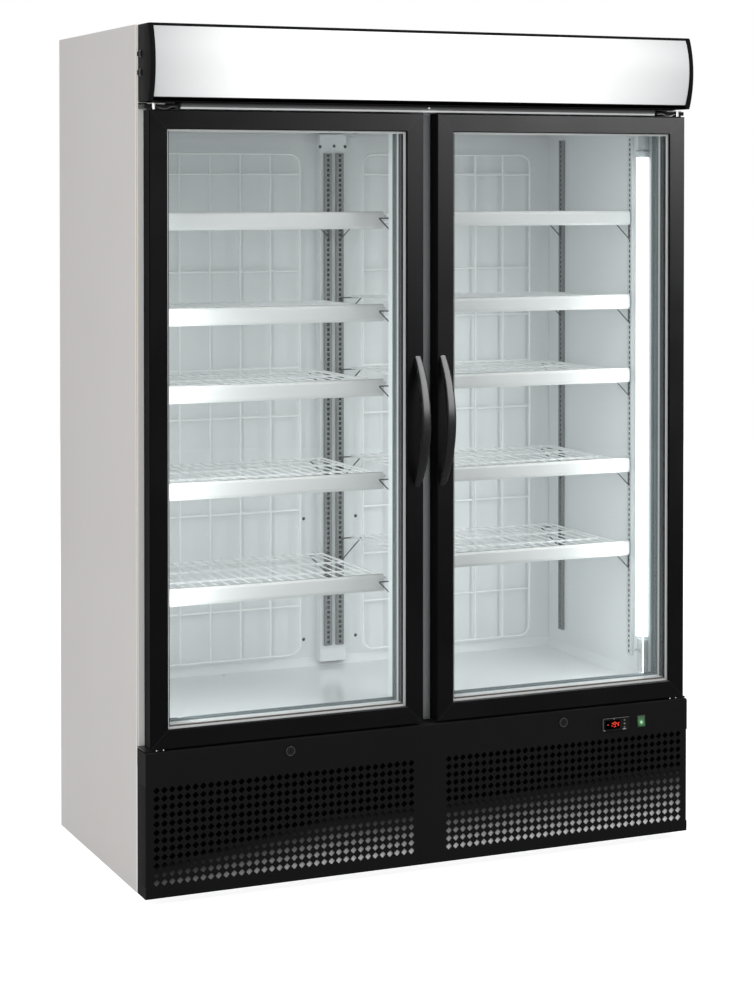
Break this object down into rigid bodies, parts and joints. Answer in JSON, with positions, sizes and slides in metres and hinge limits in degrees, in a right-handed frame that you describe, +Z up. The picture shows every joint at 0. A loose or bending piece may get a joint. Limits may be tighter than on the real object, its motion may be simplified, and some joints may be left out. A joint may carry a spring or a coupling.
{
  "type": "glass door freezer",
  "caption": "Upright display freezer with hinged glass doors, a lit sign box on top, wire shelves, price rails and a perforated black plinth with locks and controls.",
  "frame": {"origin": "middle of the floor area that the closed freezer takes up, at the feet's bottoms", "axes": "+Z up, the doors face -Y, +X to the right of someone who faces the doors"},
  "size_m": [1.37, 0.711, 1.932],
  "materials": {
    "cabinet_paint": "satin",
    "galvanised_sheet": "matt",
    "insulation": "matt",
    "liner_white": "gloss",
    "breaker_grey": "satin",
    "black_paint": "satin",
    "black_plastic": "matt",
    "pump_black": "gloss",
    "fin_aluminium": "matt",
    "fan_plastic": "matt",
    "lock_chrome": "polished",
    "display_window": "gloss",
    "key_grey": "matt",
    "rocker_green": "gloss",
    "rocker_black": "gloss",
    "sign_white": "translucent",
    "lamp_white": "translucent",
    "pane_glass": "clear",
    "spacer_metal": "matt",
    "gasket_grey": "matt",
    "hinge_zinc": "satin",
    "wire_white": "gloss",
    "rail_white": "satin",
    "bracket_grey": "satin",
    "foot_black": "matt"
  },
  "bodies": {
    "cabinet": {"left_side_panel": "cabinet_paint", "right_side_panel": "cabinet_paint", "top_panel": "cabinet_paint", "back_panel": "galvanised_sheet", "cable_gland": "black_plastic", "machine_deck": "galvanised_sheet", "foam_insulation": "insulation", "inner_liner": "liner_white", "breaker_frame": "breaker_grey", "centre_mullion": "liner_white", "rear_post": "liner_white", "base_pan": "galvanised_sheet", "compressor": "pump_black", "condenser": "fin_aluminium", "fan_shroud": "galvanised_sheet", "evaporator_tray": "liner_white", "evaporator_coil": "fin_aluminium", "plinth_panel": "black_paint", "lock_housings": "lock_chrome", "controller_housing": "black_plastic", "controller_window": "display_window", "power_switch_housing": "black_plastic", "canopy_channel": "black_paint", "canopy_diffuser": "sign_white", "canopy_end_caps": "black_plastic", "canopy_tube": "lamp_white", "door_hinges": "hinge_zinc", "shelf_standards": "wire_white", "shelf_brackets": "bracket_grey", "left_wire_shelves": "wire_white", "right_wire_shelves": "wire_white", "left_price_rails": "rail_white", "right_price_rails": "rail_white", "back_guards": "wire_white", "wall_lamps": "lamp_white", "canopy_switch_housings": "black_plastic"},
    "left_door": {"left_door_frame": "black_paint", "left_door_panes": "pane_glass", "left_door_spacers": "spacer_metal", "left_door_gasket": "gasket_grey", "left_door_handle": "black_plastic"},
    "right_door": {"right_door_frame": "black_paint", "right_door_panes": "pane_glass", "right_door_spacers": "spacer_metal", "right_door_gasket": "gasket_grey", "right_door_handle": "black_plastic"},
    "left_lock": {"left_lock_plug": "lock_chrome"},
    "right_lock": {"right_lock_plug": "lock_chrome"},
    "key_up": {"controller_key_up": "key_grey"},
    "key_set": {"controller_key_set": "key_grey"},
    "key_down": {"controller_key_down": "key_grey"},
    "power_switch": {"power_rocker": "rocker_green"},
    "cabin_light_switch": {"cabin_light_rocker": "rocker_black"},
    "canopy_light_switch": {"canopy_light_rocker": "rocker_black"},
    "condenser_fan_rotor": {"condenser_fan": "fan_plastic"},
    "evaporator_fan_rotor": {"evaporator_fan": "fan_plastic"},
    "foot_front_left": {"front_left_foot": "foot_black"},
    "foot_front_right": {"front_right_foot": "foot_black"},
    "foot_rear_left": {"rear_left_foot": "foot_black"},
    "foot_rear_right": {"rear_right_foot": "foot_black"}
  },
  "joints": [
    {"name": "left_door_hinge", "type": "hinge", "parent": "cabinet", "child": "left_door", "pos_m": [-0.663, -0.2845, 1.045], "axis": [0, 0, -1], "range_deg": [0, 110], "stiffness_Nm_per_rad": 3, "springref_deg": -20.05},
    {"name": "right_door_hinge", "type": "hinge", "parent": "cabinet", "child": "right_door", "pos_m": [0.663, -0.2845, 1.045], "axis": [0, 0, 1], "range_deg": [0, 110], "stiffness_Nm_per_rad": 3, "springref_deg": -20.05},
    {"name": "left_lock_turn", "type": "hinge", "parent": "cabinet", "child": "left_lock", "pos_m": [-0.34575, -0.3045, 0.315], "axis": [0, -1, 0], "range_deg": [0, 90]},
    {"name": "right_lock_turn", "type": "hinge", "parent": "cabinet", "child": "right_lock", "pos_m": [0.34575, -0.3045, 0.315], "axis": [0, -1, 0], "range_deg": [0, 90]},
    {"name": "power_rocker_tip", "type": "hinge", "parent": "cabinet", "child": "power_switch", "pos_m": [0.556, -0.3015, 0.2985], "axis": [1, 0, 0], "range_deg": [0, 14]},
    {"name": "cabin_light_tip", "type": "hinge", "parent": "cabinet", "child": "cabin_light_switch", "pos_m": [-0.677, -0.2605, 1.826], "axis": [0, 0, -1], "range_deg": [0, 14]},
    {"name": "canopy_light_tip", "type": "hinge", "parent": "cabinet", "child": "canopy_light_switch", "pos_m": [-0.677, -0.2605, 1.867], "axis": [0, 0, -1], "range_deg": [0, 14]},
    {"name": "condenser_fan_spin", "type": "hinge", "parent": "cabinet", "child": "condenser_fan_rotor", "pos_m": [-0.445, -0.1365, 0.142], "axis": [0, 1, 0], "continuous": true},
    {"name": "evaporator_fan_spin", "type": "hinge", "parent": "cabinet", "child": "evaporator_fan_rotor", "pos_m": [0, -0.0745, 1.705], "axis": [0, 0, 1], "continuous": true},
    {"name": "key_up_press", "type": "slide", "parent": "cabinet", "child": "key_up", "axis": [0, 1, 0], "range_m": [0, 0.0006], "stiffness_N_per_m": 500},
    {"name": "key_set_press", "type": "slide", "parent": "cabinet", "child": "key_set", "axis": [0, 1, 0], "range_m": [0, 0.0006], "stiffness_N_per_m": 500},
    {"name": "key_down_press", "type": "slide", "parent": "cabinet", "child": "key_down", "axis": [0, 1, 0], "range_m": [0, 0.0006], "stiffness_N_per_m": 500},
    {"name": "foot_front_left_screw", "type": "slide", "parent": "cabinet", "child": "foot_front_left", "axis": [0, 0, -1], "range_m": [0, 0.015]},
    {"name": "foot_front_right_screw", "type": "slide", "parent": "cabinet", "child": "foot_front_right", "axis": [0, 0, -1], "range_m": [0, 0.015]},
    {"name": "foot_rear_left_screw", "type": "slide", "parent": "cabinet", "child": "foot_rear_left", "axis": [0, 0, -1], "range_m": [0, 0.015]},
    {"name": "foot_rear_right_screw", "type": "slide", "parent": "cabinet", "child": "foot_rear_right", "axis": [0, 0, -1], "range_m": [0, 0.015]}
  ]
}
